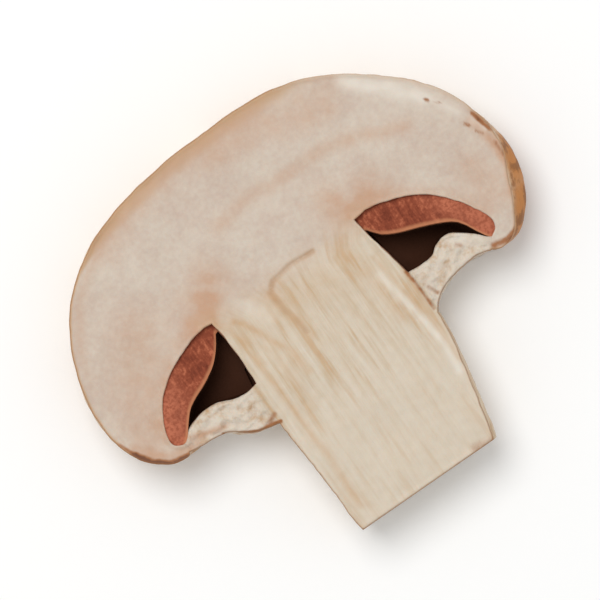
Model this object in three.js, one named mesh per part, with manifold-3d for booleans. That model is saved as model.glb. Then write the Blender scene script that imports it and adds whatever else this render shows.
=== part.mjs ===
// A lengthwise slice of a button mushroom, lying on its lower cut face. Sizes are in millimetres.
//
// The whole mushroom is made first. Its axis runs along Y, from the stem's cut end at height 0 to the crown.
// A half-section is carried round that axis and eases from the shape of the right half to that of the left.
// Two parallel knife cuts across Z then leave the slice. X runs across the cap, and Z is up through the
// thickness. The flesh of cap, stem and torn veil grew as one piece and is one mesh. The gills are another
// tissue of another colour, and the cuts leave two bundles of them, one on each side of the stem.

import * as THREE from 'three';
import { mergeVertices } from 'three/addons/utils/BufferGeometryUtils.js';
import Module from 'manifold-3d';

const wasm = await Module();
wasm.setup();

// The two knife cuts and the torn face of the veil, as distances from the mushroom's axis.
const UPPER_CUT = 1.5;
const LOWER_CUT = -5.5;
const VEIL_TEAR = 1.1;

// Landmarks of the half-sections, as they show on the upper cut face. Each row holds the distance from the
// middle line and the height of a point on the right half, and then of its partner on the left half.
const CAP = [
  [0.0, 38.2, 0.0, 38.2],
  [4.3, 38.3, 4.3, 37.9],
  [9.2, 37.8, 9.0, 37.1],
  [14.1, 35.8, 13.5, 35.5],
  [18.9, 31.8, 17.8, 32.4],
  [21.8, 27.6, 20.4, 28.6],
  [23.3, 22.9, 21.9, 23.7],
  [23.2, 19.6, 21.9, 20.0],
  [22.1, 16.7, 20.8, 17.0],
  [20.1, 14.5, 18.7, 15.0],
  [18.4, 14.0, 16.9, 14.6],
  [17.4, 14.6, 16.4, 15.2],
];
const GILL_BED = [
  [17.3, 15.4, 16.8, 15.8],
  [18.0, 15.9, 17.5, 16.3],
  [17.9, 17.0, 17.1, 17.6],
  [16.7, 18.9, 15.8, 19.6],
  [14.8, 21.1, 13.9, 21.3],
  [12.9, 22.4, 12.0, 22.4],
  [11.0, 23.3, 10.2, 23.3],
  [9.1, 23.8, 8.9, 23.8],
];
const STEM = [
  [7.8, 23.8, 8.0, 23.8],
  [8.1, 21.6, 7.9, 21.4],
  [8.7, 18.9, 7.8, 19.0],
  [9.2, 15.6, 7.9, 16.2],
  [9.2, 11.6, 8.2, 12.2],
  [8.7, 8.2, 8.0, 8.8],
  [8.0, 4.8, 7.8, 4.8],
  [7.4, 1.8, 7.8, 1.8],
  [6.9, 0.0, 7.6, 0.0],
];
const VEIL_UPPER = [
  [17.6, 14.9, 16.9, 15.2],
  [16.8, 15.8, 16.3, 15.9],
  [16.1, 16.6, 15.4, 16.7],
  [15.0, 17.5, 14.2, 17.2],
  [14.0, 17.9, 13.2, 17.3],
  [12.9, 17.7, 12.0, 17.1],
  [11.8, 17.0, 10.8, 16.7],
  [9.9, 17.0, 9.2, 16.4],
  [6.5, 17.2, 5.5, 16.8],
];
const VEIL_LOWER = [
  [6.5, 12.0, 5.5, 12.2],
  [9.3, 12.5, 8.6, 12.4],
  [10.5, 13.6, 10.3, 12.8],
  [12.4, 14.4, 11.6, 13.5],
  [14.8, 14.7, 13.2, 14.5],
  [16.7, 14.4, 15.2, 14.7],
  [18.0, 14.5, 16.9, 14.9],
];
// The lower edges of the gills above the pocket, and of the longer ones behind it.
const GILL_EDGE = [
  [8.2, 22.4, 8.4, 22.6],
  [8.9, 21.4, 9.2, 21.4],
  [10.3, 20.6, 10.4, 20.2],
  [12.2, 19.9, 12.0, 19.3],
  [13.9, 19.2, 13.4, 18.7],
  [15.3, 18.4, 14.6, 18.0],
  [16.3, 17.4, 15.8, 17.2],
  [17.2, 16.5, 16.7, 16.7],
];
const LONG_GILL_EDGE = [
  [8.5, 23.2, 8.6, 23.2],
  [8.6, 21.6, 8.4, 21.4],
  [9.2, 18.9, 8.3, 19.0],
  [9.5, 17.6, 8.5, 17.3],
  [10.6, 17.5, 9.6, 17.0],
  [11.9, 17.5, 10.9, 17.3],
  [13.0, 18.2, 12.1, 17.6],
  [14.1, 18.4, 13.2, 17.8],
  [15.2, 18.0, 14.4, 17.7],
  [16.4, 17.0, 15.6, 17.2],
  [17.2, 16.7, 16.6, 16.9],
];

// Gills. Their planes hold the mushroom's axis, as spokes do.
const GILL_ANGLE = 4.8;     // degrees from one gill to the next
const GILL_SPLIT = 0.2;     // the space between two gills
const SPLIT_START = 9.6;    // nearer the axis than this, neighbouring gills are joined
const FIRST_SPLIT = -36;    // degrees, beside the lower cut
const LAST_SPLIT = 12;      // degrees, above the upper cut
const POCKET_FLOOR = -14.4; // degrees; the gills below it are the long ones
const GILL_ROOT = 0.75;     // the band along the bed that joins the gills
const BED_GAP = 0.3;        // clearance between the gills and the flesh
const BED_START = 2;        // the landmark of the bed at which the gills begin, past its narrow outer end

// Low relief: the cap's swellings, the stem's furrows, the veil's lumps, and the cap's flattened right rim,
// which slopes away below the upper cut within an angle of the middle plane.
const CAP_SWELLING = 0.12;
const STEM_FURROW = 0.12;
const VEIL_LUMP = 0.2;
const RIM_DENT = 1.5;
const RIM_DENT_HEIGHT = 17.5;
const RIM_DENT_SPREAD = 4.5;
const RIM_DENT_ANGLE = 3.5;

// Fineness of the turned surfaces: steps round the axis, and from one landmark to the next.
const COLUMNS = 84;
const CAP_STEPS = 3;
const BED_STEPS = 2;
const STEM_STEPS = 2;
const VEIL_STEPS = 2;
const EDGE_STEPS = 1;

// The cutting blocks are longer than the mushroom, and the turned cutters end under the veil.
const CUTTER_REACH = 60;
const CUTTER_MARGIN = 3;
const UNDER_VEIL = 10;

const FLESH = new THREE.MeshStandardMaterial({ color: 0xe8d8bd, roughness: 0.6, metalness: 0 });
const GILL = new THREE.MeshStandardMaterial({ color: 0x8f4f35, roughness: 0.75, metalness: 0 });

const degrees = THREE.MathUtils.degToRad;

function capSwelling(angle, height) {
  const lumps = Math.sin(3 * angle + 0.35 * height) + 0.7 * Math.sin(7 * angle - 0.5 * height);
  const beside = Math.exp(-(((height - RIM_DENT_HEIGHT) / RIM_DENT_SPREAD) ** 2));
  const above = THREE.MathUtils.smoothstep(Math.PI / 2 - angle, 0, degrees(RIM_DENT_ANGLE));
  const onRight = angle < Math.PI ? 1 : 0;
  return CAP_SWELLING * lumps - RIM_DENT * beside * above * onRight;
}

function stemFurrows(angle, height) {
  return STEM_FURROW * (Math.sin(9 * angle + 0.12 * height) + 0.5 * Math.sin(17 * angle));
}

function veilLumps(angle, height) {
  return VEIL_LUMP * Math.sin(13 * angle + 1.7 * height);
}

const smooth = () => 0;

// The stations of a half-section: smooth curves through the landmarks of both halves, with a number of steps
// from one landmark to the next, and the relief that the surface has there. A distance across the upper cut
// face becomes a distance from the axis.
function run(landmarks, steps, relief = smooth) {
  const half = (across, height) => {
    const points = landmarks.map(
      (row) => new THREE.Vector2(Math.hypot(row[across], UPPER_CUT), row[height])
    );
    return new THREE.SplineCurve(points).getPoints((landmarks.length - 1) * steps);
  };
  const left = half(2, 3);
  return half(0, 1).map((point, i) => ({ right: point, left: left[i], relief }));
}

// One station that is alike on both halves.
function station(radius, height) {
  const point = new THREE.Vector2(radius, height);
  return { right: point, left: point.clone(), relief: smooth };
}

// A run moved to the left of its own direction.
function shifted(stations, distance) {
  const half = (points) =>
    points.map((point, i) => {
      const before = points[Math.max(i - 1, 0)];
      const after = points[Math.min(i + 1, points.length - 1)];
      const along = after.clone().sub(before).normalize();
      return new THREE.Vector2(point.x - along.y * distance, point.y + along.x * distance);
    });
  const right = half(stations.map((each) => each.right));
  const left = half(stations.map((each) => each.left));
  return stations.map((each, i) => ({ right: right[i], left: left[i], relief: each.relief }));
}

// A closed geometry as a solid with its faces outwards.
function solid(geometry) {
  geometry.deleteAttribute('normal');
  geometry.deleteAttribute('uv');
  const merged = mergeVertices(geometry, 1e-4);
  return new wasm.Manifold(
    new wasm.Mesh({
      numProp: 3,
      vertProperties: merged.attributes.position.array,
      triVerts: new Uint32Array(merged.index.array),
    })
  );
}

// Carries a half-section round the axis. It is the right half's towards +X and the left half's towards -X.
// Its stations run anticlockwise, with the axis on the left and the crown at the top.
function turned(stations) {
  const rows = stations.length;
  const lathe = new THREE.LatheGeometry(stations.map((each) => each.right), COLUMNS);
  const position = lathe.attributes.position;
  for (let i = 0; i < position.count; i++) {
    const { right, left, relief } = stations[i % rows];
    const angle = ((Math.floor(i / rows) % COLUMNS) / COLUMNS) * 2 * Math.PI;
    const point = left.clone().lerp(right, (1 + Math.sin(angle)) / 2);
    const radius = point.x > 0 ? point.x + relief(angle, point.y) : 0;
    position.setXYZ(i, radius * Math.sin(angle), point.y, radius * Math.cos(angle));
  }
  return solid(lathe);
}

// A half-section that closes on itself, anticlockwise.
const ring = (stations) => [...stations, stations[0]];

// A cutting block between two heights.
function slab(low, high) {
  const block = new THREE.BoxGeometry(2 * CUTTER_REACH, 2 * CUTTER_REACH, high - low);
  return solid(block.translate(0, 0, (low + high) / 2));
}

// A cutting block along a plane through the axis that leans up by an angle, on the right (side 1) or the
// left (side -1). It lies between two distances from the plane and starts at a distance from the axis.
function spoke(angle, side, low, high, start) {
  const block = new THREE.BoxGeometry(CUTTER_REACH, 2 * CUTTER_REACH, high - low);
  block.translate(side * (start + CUTTER_REACH / 2), 0, (low + high) / 2);
  return solid(block.rotateY(-side * degrees(angle)));
}

const bed = run(GILL_BED, BED_STEPS);

// The cap, the stem and the veil that is torn off between them.
function makeFlesh() {
  const cap = run(CAP, CAP_STEPS, capSwelling);
  const stem = run(STEM, STEM_STEPS, stemFurrows);
  const surface = [...cap, ...bed, ...stem].reverse();
  const body = turned([station(0, surface[0].right.y), ...surface, station(0, surface.at(-1).right.y)]);
  const veilFaces = [VEIL_UPPER, VEIL_LOWER].flatMap((face) => run(face, VEIL_STEPS, veilLumps));
  const veil = turned(ring(veilFaces));
  const tornVeil = veil.intersect(slab(-CUTTER_REACH, VEIL_TEAR));
  return body.add(tornVeil).intersect(slab(LOWER_CUT, UPPER_CUT));
}

// Everything under a line that runs inwards, down past the veil.
function under(stations) {
  const outer = stations[0].right.x + CUTTER_MARGIN;
  const { x, y } = stations.at(-1).right;
  const inner = x - CUTTER_MARGIN;
  const around = [station(inner, y), station(inner, UNDER_VEIL), station(outer, UNDER_VEIL)];
  return turned(ring([...stations, ...around]));
}

// The gills on one side of the stem, which is 1 for the right and -1 for the left. They hang from the bed,
// and a root band joins them along it. Those above the pocket's floor are the short ones.
function makeGills(side) {
  const held = bed.slice(BED_START * BED_STEPS);
  const full = turned(ring([...shifted(held, BED_GAP), ...run(LONG_GILL_EDGE, EDGE_STEPS)]));
  const longOnes = spoke(POCKET_FLOOR, side, -CUTTER_REACH, 0, 0);
  const pocket = under(run(GILL_EDGE, EDGE_STEPS).reverse()).subtract(longOnes);
  const belowRoots = under(shifted(held, BED_GAP + GILL_ROOT));
  let gills = full.subtract(pocket).intersect(spoke(0, side, LOWER_CUT, UPPER_CUT, 0));
  for (let angle = FIRST_SPLIT; angle <= LAST_SPLIT; angle += GILL_ANGLE) {
    const split = spoke(angle, side, -GILL_SPLIT / 2, GILL_SPLIT / 2, SPLIT_START);
    gills = gills.subtract(split.intersect(belowRoots));
  }
  return gills;
}

function mesh(name, made, material) {
  const { vertProperties, triVerts } = made.getMesh();
  const geometry = new THREE.BufferGeometry();
  geometry.setAttribute('position', new THREE.BufferAttribute(vertProperties, 3));
  geometry.setIndex(new THREE.BufferAttribute(triVerts, 1));
  geometry.computeVertexNormals();
  const part = new THREE.Mesh(geometry, material);
  part.name = name;
  return part;
}

const mushroom = new THREE.Group();
mushroom.add(
  mesh('cap_and_stem', makeFlesh(), FLESH),
  mesh('gills_right', makeGills(1), GILL),
  mesh('gills_left', makeGills(-1), GILL)
);

// The slice lies on its lower cut face, with the middle of its outline over the origin.
const outline = new THREE.Box3().setFromObject(mushroom);
const middle = outline.getCenter(new THREE.Vector3());
mushroom.position.set(-middle.x, -middle.y, -outline.min.z);

export default mushroom;
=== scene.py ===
"""A lengthwise slice of a raw button mushroom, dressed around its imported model.

Lengths are millimetres in the mushroom's own frame, unless a name or a comment says metres. X runs across the
cap, Y up the stem's axis from its cut end, and Z through the slice, with the axis at X = Z = 0.
"""

import logging
import math
from collections.abc import Callable, Mapping, Sequence
from dataclasses import dataclass
from enum import Enum
from functools import cached_property
from typing import Any

import bmesh
import bpy
import numpy as np
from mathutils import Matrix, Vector


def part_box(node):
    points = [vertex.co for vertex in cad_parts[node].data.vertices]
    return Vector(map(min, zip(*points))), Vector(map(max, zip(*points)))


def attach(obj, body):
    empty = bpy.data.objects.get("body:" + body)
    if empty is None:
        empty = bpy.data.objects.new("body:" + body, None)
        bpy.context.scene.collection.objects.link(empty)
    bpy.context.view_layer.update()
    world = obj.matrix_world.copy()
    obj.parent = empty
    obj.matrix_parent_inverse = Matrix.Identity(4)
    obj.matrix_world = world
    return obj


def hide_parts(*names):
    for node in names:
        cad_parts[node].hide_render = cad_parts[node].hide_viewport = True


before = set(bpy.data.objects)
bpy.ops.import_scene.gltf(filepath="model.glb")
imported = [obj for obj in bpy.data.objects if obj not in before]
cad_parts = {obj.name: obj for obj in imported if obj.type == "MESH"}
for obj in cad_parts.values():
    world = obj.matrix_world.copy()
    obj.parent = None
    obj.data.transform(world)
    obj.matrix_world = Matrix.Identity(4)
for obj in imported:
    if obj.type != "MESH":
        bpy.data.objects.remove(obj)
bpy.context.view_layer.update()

Array = np.ndarray
Relief = Callable[[Array, Array], Array]
Row = tuple[float, float, float, float]
Rgb = tuple[int, int, int]
Colour = Rgb | bpy.types.NodeSocket

LOG = logging.getLogger("mushroom")
METRES = 0.001
GLOW_DEPTH = 1.2
GLOW_SPREAD = (1.0, 0.55, 0.35)

UPPER_CUT = 1.5
LOWER_CUT = -5.5

# Stands for a distance that plays no part.
FAR = 99.0

# Landmarks of the half-sections, as they show on the upper cut face. Each row holds the distance from the
# middle line and the height of a point on the right half, and then of its partner on the left half.
CAP: tuple[Row, ...] = (
    (0.0, 38.2, 0.0, 38.2),
    (4.3, 38.3, 4.3, 37.9),
    (9.2, 37.8, 9.0, 37.1),
    (14.1, 35.8, 13.5, 35.5),
    (18.9, 31.8, 17.8, 32.4),
    (21.8, 27.6, 20.4, 28.6),
    (23.3, 22.9, 21.9, 23.7),
    (23.2, 19.6, 21.9, 20.0),
    (22.1, 16.7, 20.8, 17.0),
    (20.1, 14.5, 18.7, 15.0),
    (18.4, 14.0, 16.9, 14.6),
    (17.6, 14.4, 16.5, 14.9),
)
GILL_BED: tuple[Row, ...] = (
    (17.3, 15.4, 16.8, 15.8),
    (18.0, 15.9, 17.5, 16.3),
    (18.1, 17.1, 17.4, 17.7),
    (17.0, 19.2, 16.2, 19.9),
    (15.1, 21.5, 14.2, 21.7),
    (13.1, 22.8, 12.1, 22.7),
    (11.1, 23.6, 10.2, 23.3),
    (9.1, 24.0, 9.0, 23.5),
)
STEM: tuple[Row, ...] = (
    (7.8, 23.8, 8.2, 23.4),
    (8.1, 21.6, 7.9, 21.4),
    (8.7, 18.9, 7.8, 19.0),
    (9.2, 15.6, 7.9, 16.2),
    (9.2, 11.6, 8.2, 12.2),
    (8.7, 8.2, 8.0, 8.8),
    (8.0, 4.8, 7.8, 4.8),
    (7.4, 1.8, 7.8, 1.8),
    (6.9, 0.0, 7.6, 0.0),
)
# The veil's faces from the cap's margin inwards, without their ends, which lie on the margin and on the stem.
VEIL_UPPER: tuple[Row, ...] = (
    (16.8, 15.8, 16.3, 15.9),
    (16.1, 16.6, 15.4, 16.7),
    (15.0, 17.5, 14.2, 17.2),
    (14.0, 17.9, 13.2, 17.3),
    (12.9, 17.7, 12.0, 17.1),
    (11.8, 17.0, 10.8, 16.7),
    (9.9, 17.0, 9.2, 16.4),
)
VEIL_LOWER: tuple[Row, ...] = (
    (16.7, 14.4, 15.2, 14.7),
    (14.8, 14.7, 13.2, 14.5),
    (12.4, 14.4, 11.6, 13.5),
    (10.5, 13.6, 10.3, 12.8),
)
# Heights at which the veil's upper and lower face meet the stem, on the right and on the left.
VEIL_ON_STEM_UPPER = (17.05, 16.6)
VEIL_ON_STEM_LOWER = (12.5, 12.4)
# The lower edges of the gills above the pocket, and of the longer ones behind it.
GILL_EDGE: tuple[Row, ...] = (
    (8.2, 22.4, 8.4, 22.6),
    (8.9, 21.4, 9.2, 21.4),
    (10.3, 20.6, 10.4, 20.2),
    (12.2, 19.9, 12.0, 19.3),
    (13.9, 19.2, 13.4, 18.7),
    (15.3, 18.4, 14.4, 18.1),
    (16.1, 17.3, 15.3, 17.1),
    (16.6, 16.2, 16.0, 16.2),
    (17.3, 15.2, 16.8, 15.5),
)
LONG_GILL_EDGE: tuple[Row, ...] = (
    (8.5, 23.2, 8.6, 23.2),
    (8.6, 21.6, 8.4, 21.4),
    (9.0, 18.9, 8.2, 19.0),
    (9.3, 16.7, 8.4, 16.3),
    (10.6, 16.6, 9.6, 16.0),
    (11.9, 16.6, 10.9, 16.3),
    (13.0, 17.2, 12.1, 16.6),
    (14.1, 17.4, 13.2, 16.8),
    (15.2, 17.0, 14.4, 16.7),
    (16.2, 16.0, 15.5, 16.1),
    (17.3, 14.9, 16.8, 15.3),
)


class Side(Enum):
    """A half of the mushroom, with the sign of its X."""

    RIGHT = 1
    LEFT = -1


def ease(value: Array, low: float, high: float) -> Array:
    """Goes smoothly from 0 at low to 1 at high: 3t squared less 2t cubed, of the share t of the way.

    Args:
        value: Any numbers.
        low: Where it starts to rise. It may be larger than high, and then it falls.
        high: Where it is 1.

    Returns:
        Numbers from 0 to 1.
    """
    share = np.clip((value - low) / (high - low), 0, 1)
    return share * share * (3 - 2 * share)


def bell(value: Array, middle: float, spread: float) -> Array:
    """A bump of height 1 at middle that has fallen to a third at spread from it."""
    return np.exp(-(((value - middle) / spread) ** 2))


@dataclass(frozen=True)
class Grain:
    """A smooth random field: the sum of plane waves in random directions.

    Attributes:
        sizes: The rough size of its lumps along each coordinate.
        seed: Of the random draw.
        waves: How many waves are added.
        paces: The least and the most turns of a wave over one lump.
    """

    sizes: tuple[float, ...]
    seed: int
    waves: int = 32
    paces: tuple[float, float] = (0.6, 1.6)

    def __call__(self, points: Array) -> Array:
        """The field at points: the sum of the sines of wave times point plus phase, scaled to a spread of 1.

        Args:
            points: Places, with a coordinate for each size along their last axis.

        Returns:
            A number for each point, about 0 on average.
        """
        draw = np.random.default_rng(self.seed)
        heading = draw.normal(size=(len(self.sizes), self.waves))
        heading /= np.linalg.norm(heading, axis=0)
        pace = 2 * math.pi * draw.uniform(*self.paces, self.waves) * heading / np.array(self.sizes)[:, None]
        phase = draw.uniform(0, 2 * math.pi, self.waves)
        return np.sin(points @ pace + phase).sum(-1) / math.sqrt(self.waves / 2)


# The unevenness of the skins, the cut flesh, the stem, the torn veil and the stains.
SKIN_LUMPS = Grain((2.2, 2.2, 2.2), 11)
FINE_SKIN_LUMPS = Grain((0.9, 0.9, 0.9), 12)
FLESH_SWELLS = Grain((9, 9), 21)
FINE_FLESH_SWELLS = Grain((1.6, 1.6), 22)
STEM_RIDGES = Grain((0.9, 14), 23)
VEIL_LUMPS = Grain((1.6, 1.6), 24)
FINE_VEIL_LUMPS = Grain((0.7, 0.7), 25)
STAIN_WOBBLE = Grain((2.2, 2.2), 31)


@dataclass(frozen=True)
class Zone:
    """A part of the cut face, which comes in along X and along Y.

    Attributes:
        across: Where it starts and where it is full along X.
        up: The same along Y.
    """

    across: tuple[float, float]
    up: tuple[float, float]

    def over(self, x: Array, y: Array) -> Array:
        """Its strength at points: the product of an eased step along X and one along Y."""
        return ease(x, *self.across) * ease(y, *self.up)


# Where the skin's tone is thicker, beside the crown and at the upper right; where the right rim is pale and
# where its skin is bruised; and where a blush lies beneath the skin.
BESIDE_CROWN = Zone((13.5, 5), (33.5, 36.4))
UPPER_RIGHT = Zone((6, 12), (22, 26))
PALE_RIM = Zone((7, 13), (24.5, 27))
RIGHT_RIM = Zone((15, 20.5), (27.5, 20.5))
UNDER_SKIN = Zone((9, 5), (22, 30))


def smooth_line(points: Array, steps: int) -> Array:
    """A smooth curve through points.

    Between neighbours b and c, with a before and d after them, the point at share t is half of
    2b + (c - a)t + (2a - 5b + 4c - d)tt + (3b - a - 3c + d)ttt.

    Args:
        points: One point in each row.
        steps: Steps from one point to the next.

    Returns:
        The curve's points, one in each row.
    """
    ends = np.vstack([points[:1], points, points[-1:]])
    a, b, c, d = (ends[i : len(ends) - 3 + i, None] for i in range(4))
    t = np.linspace(0, 1, steps, endpoint=False)[None, :, None]
    curve = 2 * b + (c - a) * t + (2 * a - 5 * b + 4 * c - d) * t**2 + (3 * b - a - 3 * c + d) * t**3
    return np.vstack([curve.reshape(-1, points.shape[1]) / 2, points[-1:]])


def along(line: Array, shares: Array) -> Array:
    """Points of a line at shares of its length.

    Args:
        line: The line's points, one in each row.
        shares: Shares of its length, from 0 to 1.

    Returns:
        A point for each share, on the straight steps of the line.
    """
    steps = np.linalg.norm(np.diff(line, axis=0), axis=1)
    run = np.concatenate([[0], np.cumsum(steps)])
    return np.stack([np.interp(shares * run[-1], run, column) for column in line.T], 1)


def evenly(line: Array, count: int) -> Array:
    """Points at equal steps along a line."""
    return along(line, np.linspace(0, 1, count))


def gathered(count: int, pull: float) -> Array:
    """Shares from 0 to 1 that lie closer at both ends: t less pull times sin(2 pi t) over 2 pi."""
    t = np.linspace(0, 1, count)
    return t - pull * np.sin(2 * math.pi * t) / (2 * math.pi)


def joined(line: Array, start: Array, end: Array) -> Array:
    """A line moved at its ends to meet two points, by corrections that fade over a fifth of its points."""
    t = np.linspace(0, 1, len(line))[:, None]
    return line + (start - line[0]) * ease(t, 0.2, 0) + (end - line[-1]) * ease(t, 0.8, 1)


def across_cut(rows: Sequence[Row]) -> Array:
    """Landmarks with each distance across the upper cut face made a distance from the axis.

    The distance from the axis is the root of the distance across squared plus the cut's Z squared.

    Args:
        rows: Landmarks of both halves.

    Returns:
        The rows as an array, with radii in place of the distances across.
    """
    line = np.array(rows, float)
    line[:, [0, 2]] = np.hypot(line[:, [0, 2]], UPPER_CUT)
    return line


def distance(points: Array, line: Array) -> Array:
    """How far each point of a plane is from a line of segments.

    Args:
        points: Points, one in each row.
        line: The line's points, one in each row.

    Returns:
        One distance for each point: the least of those to the nearest place on every segment.
    """
    start, step = line[:-1], np.diff(line, axis=0)
    square = np.maximum((step**2).sum(1), 1e-12)
    nearest = np.empty(len(points))
    chunk = 4000
    for first in range(0, len(points), chunk):
        offset = points[first : first + chunk, None] - start
        share = np.clip((offset * step).sum(2) / square, 0, 1)
        gap = offset - share[..., None] * step
        nearest[first : first + chunk] = np.sqrt((gap**2).sum(2).min(1))
    return nearest


def no_relief(angle: Array, height: Array) -> Array:
    """A smooth surface."""
    return np.zeros_like(height)


def cap_swelling(angle: Array, height: Array) -> Array:
    """The cap's low swellings, and its right rim, which slopes away below the upper cut.

    Two waves run round the axis and slant with the height. The dent is a bell over the height that eases in
    with the angle above the middle plane.

    Args:
        angle: Round the axis from +Z towards +X, in radians.
        height: Along the axis.

    Returns:
        How far the surface stands out.
    """
    swelling, dent, dent_height, dent_spread = 0.12, 1.5, 17.5, 4.5
    lumps = np.sin(3 * angle + 0.35 * height) + 0.7 * np.sin(7 * angle - 0.5 * height)
    above = ease(math.pi / 2 - angle, 0, math.radians(3.5)) * (angle < math.pi)
    return swelling * lumps - dent * bell(height, dent_height, dent_spread) * above


def stem_furrows(angle: Array, height: Array) -> Array:
    """The stem's long furrows: two waves round the axis that slant a little with the height."""
    depth = 0.12
    return depth * (np.sin(9 * angle + 0.12 * height) + 0.5 * np.sin(17 * angle))


def veil_lumps(angle: Array, height: Array) -> Array:
    """The veil's lumps: a wave round the axis that slants with the height."""
    depth = 0.2
    return depth * np.sin(13 * angle + 1.7 * height)


def crossing(line: Array, side: Side, level: float, relief: Relief = no_relief) -> Array:
    """Where a line turned round the axis meets a plane across Z.

    The line eases from its right half to its left half by half of one plus the cosine of the angle above the
    middle plane. That angle depends on the radius, so both are worked out by turns. The relief comes in
    between two radii. X is then the root of the radius squared less the level squared.

    Args:
        line: Radius and height on the right half and on the left half, one station in each row.
        side: The half of the mushroom.
        level: The plane's Z.
        relief: How far the surface stands out at an angle and a height.

    Returns:
        X and Y of each station that reaches the plane.
    """
    right, left = line[:, :2], line[:, 2:]
    own, other = (right, left) if side is Side.RIGHT else (left, right)
    point = own.copy()
    turns, bare, full = 4, 2, 8
    for _ in range(turns):
        above = np.arcsin(np.clip(level / np.maximum(point[:, 0], 1e-6), -1, 1))
        share = ((1 + np.cos(above)) / 2)[:, None]
        angle = math.pi / 2 - above if side is Side.RIGHT else 1.5 * math.pi + above
        point = share * own + (1 - share) * other
        point[:, 0] += relief(angle, point[:, 1]) * ease(point[:, 0], bare, full)
    reach = point[point[:, 0] > abs(level)]
    across = np.sqrt(reach[:, 0] ** 2 - level**2)
    return np.stack([side.value * across, reach[:, 1]], 1)


@dataclass(frozen=True)
class Section:
    """The lines of the section between flesh, gills and air, at any level of the slice.

    Attributes:
        across: Points across the stem.
        along_bed: Points along each gill bed.
        along_stem_upper: Points along the stem beside each pocket.
        along_stem_lower: Points along the stem under the veil.
        along_veil: Points along each face of the veil.
        cap_steps: Steps from one landmark of the cap's outer line to the next.
        crown_steps: Steps over the crown.
        steps: Steps between landmarks of the bed and the stem.
        veil_steps: Steps between landmarks of the veil.
        rim_beside_bed: Share of the rim whose depth lines end on each bed.
        pull: How much the points across gather at the edges.
        roughness: How far the skins' small lumps stand out.
    """

    across: int = 92
    along_bed: int = 112
    along_stem_upper: int = 34
    along_stem_lower: int = 62
    along_veil: int = 48
    cap_steps: int = 60
    crown_steps: int = 40
    steps: int = 24
    veil_steps: int = 16
    rim_beside_bed: float = 0.37
    pull: float = 0.7
    roughness: float = 0.02

    @cached_property
    def cap(self) -> Array:
        """The cap's outer line, from the crown on the axis to the margin.

        Returns:
            Radius and height on the right half and then on the left half, one station in each row.
        """
        line = smooth_line(across_cut(CAP), self.cap_steps)
        crown = np.array([[0, line[0, 1], 0, line[0, 3]]])
        return np.vstack([smooth_line(np.vstack([crown, line[:1]]), self.crown_steps)[:-1], line])

    @cached_property
    def bed(self) -> Array:
        """The gill bed's line, from the margin to the stem's top corner."""
        line = smooth_line(across_cut(GILL_BED), self.steps)
        return evenly(np.vstack([line, across_cut(STEM[:1])]), self.along_bed)

    @cached_property
    def stem(self) -> Array:
        """The stem's line, from its top corner to its cut end."""
        return smooth_line(across_cut(STEM), self.steps)

    def stem_part(self, top: tuple[float, float], foot: tuple[float, float], count: int) -> Array:
        """The stem's line between two heights.

        Args:
            top: The upper height on the right and on the left.
            foot: The lower height on the right and on the left.
            count: How many stations the part has.

        Returns:
            Radius and height on the right half and then on the left half, one station in each row.
        """
        halves = []
        for column, high, low in ((0, top[0], foot[0]), (2, top[1], foot[1])):
            height = np.linspace(high, low, count)
            halves.append(np.interp(-height, -self.stem[:, column + 1], self.stem[:, column]))
            halves.append(height)
        return np.stack(halves, 1)

    def veil(self, rows: Sequence[Row], margin: Array, on_stem: tuple[float, float]) -> Array:
        """A face of the veil, from a station of the margin to the stem.

        Args:
            rows: The face's landmarks.
            margin: The station that it starts from.
            on_stem: The height at which it meets the stem on the right and on the left.

        Returns:
            Its stations, at equal steps.
        """
        foot = self.stem_part(on_stem, on_stem, 1)
        line = smooth_line(np.vstack([margin[None], across_cut(rows), foot]), self.veil_steps)
        return evenly(line, self.along_veil)

    @cached_property
    def veil_share(self) -> Array:
        """How much each point along the veil belongs to it: the sine over its length to the power of 0.4."""
        return np.sin(math.pi * np.linspace(0, 1, self.along_veil)) ** 0.4

    @cached_property
    def turned(self) -> dict[str, tuple[Array, Relief]]:
        """The lines that are turned round the axis on both halves.

        Returns:
            Each line's stations and its relief, by the line's name.
        """
        top, foot = (self.stem[0, 1], self.stem[0, 3]), (self.stem[-1, 1], self.stem[-1, 3])
        return {
            "bed": (self.bed, no_relief),
            "stem_upper": (self.stem_part(top, VEIL_ON_STEM_UPPER, self.along_stem_upper), stem_furrows),
            "stem_lower": (self.stem_part(VEIL_ON_STEM_LOWER, foot, self.along_stem_lower), stem_furrows),
            "veil_upper": (self.veil(VEIL_UPPER, self.bed[0], VEIL_ON_STEM_UPPER), veil_lumps),
            "veil_lower": (self.veil(VEIL_LOWER, self.cap[-1], VEIL_ON_STEM_LOWER), veil_lumps),
        }

    @cached_property
    def rim_shares(self) -> Array:
        """Shares of the rim's length at which depth lines start.

        Returns:
            Shares from the left margin to the right one: even beside the beds and gathered above the stem.
        """
        beside = np.linspace(0, self.rim_beside_bed, self.along_bed)
        width = 1 - 2 * self.rim_beside_bed
        above = self.rim_beside_bed + width * gathered(self.across, self.pull)
        return np.concatenate([beside, above[1:-1], 1 - beside[::-1]])

    def roughened(self, line: Array, level: float) -> Array:
        """A line whose points stand out by small random lumps.

        Each point moves across the line by the roughness times a coarse and half a fine grain. A taper over a
        twenty-fifth of the line keeps its ends where they are.

        Args:
            line: The line, in X and Y.
            level: The line's Z.

        Returns:
            The moved points.
        """
        run = np.gradient(line, axis=0)
        outward = np.stack([run[:, 1], -run[:, 0]], 1) / np.linalg.norm(run, axis=1, keepdims=True)
        points = np.column_stack([line, np.full(len(line), level)])
        lumps = SKIN_LUMPS(points) + 0.5 * FINE_SKIN_LUMPS(points)
        t = np.linspace(0, 1, len(line))
        taper = ease(t, 0, 0.04) * ease(t, 1, 0.96)
        return line + self.roughness * (taper * lumps)[:, None] * outward

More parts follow.
